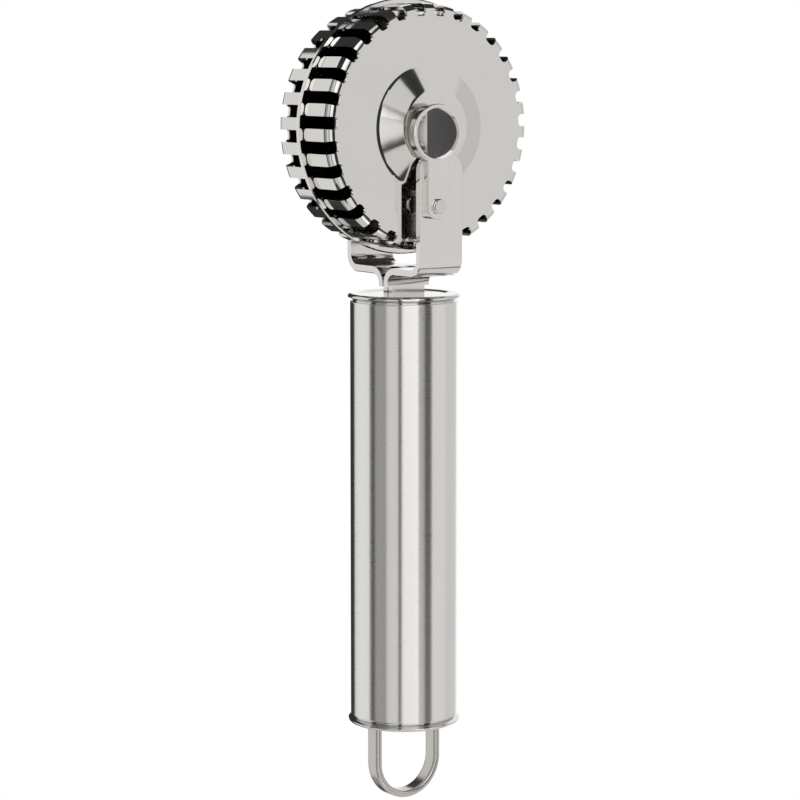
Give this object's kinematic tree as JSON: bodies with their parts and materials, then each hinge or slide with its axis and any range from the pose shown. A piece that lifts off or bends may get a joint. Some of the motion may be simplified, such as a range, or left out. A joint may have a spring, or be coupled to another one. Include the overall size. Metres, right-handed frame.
{
  "type": "pastry cutter wheel",
  "caption": "Toothed crimping wheel with a thin cutting disc, turning in a bent steel fork on a tubular handle with a hanging loop.",
  "frame": {"origin": "on the handle's centre line, where a hook bears on the inside of the hanging loop", "axes": "+Z along the handle toward the wheel, +Y along the wheel's axis toward the rear arm, +X across the handle in the wheel's plane"},
  "size_m": [0.0564, 0.0338, 0.1804],
  "materials": {
    "polished_steel": "polished stainless steel",
    "cutting_edge": "mirror polished stainless steel",
    "satin_steel": "satin stainless steel",
    "brushed_steel": "stainless steel brushed round the tube",
    "hidden_steel": "plain stainless steel, out of sight"
  },
  "bodies": {
    "handle": {"front_fork_arm": "satin_steel", "rear_fork_arm": "satin_steel", "front_pivot_tongue": "satin_steel", "rear_pivot_tongue": "satin_steel", "front_tongue_rivet": "polished_steel", "rear_tongue_rivet": "polished_steel", "front_fork_weld": "hidden_steel", "rear_fork_weld": "hidden_steel", "handle_tube": "brushed_steel", "top_cap": "polished_steel", "bottom_cap": "polished_steel", "hanging_loop": "satin_steel", "left_loop_weld": "hidden_steel", "right_loop_weld": "hidden_steel"},
    "wheel": {"cutting_disc": "cutting_edge", "front_toothed_cup": "polished_steel", "rear_toothed_cup": "polished_steel", "front_hub_spacer": "hidden_steel", "rear_hub_spacer": "hidden_steel"}
  },
  "joints": [
    {"name": "wheel_spin", "type": "hinge", "parent": "handle", "child": "wheel", "pos_m": [0, 0, 0.1506], "axis": [0, 1, 0], "continuous": true}
  ]
}
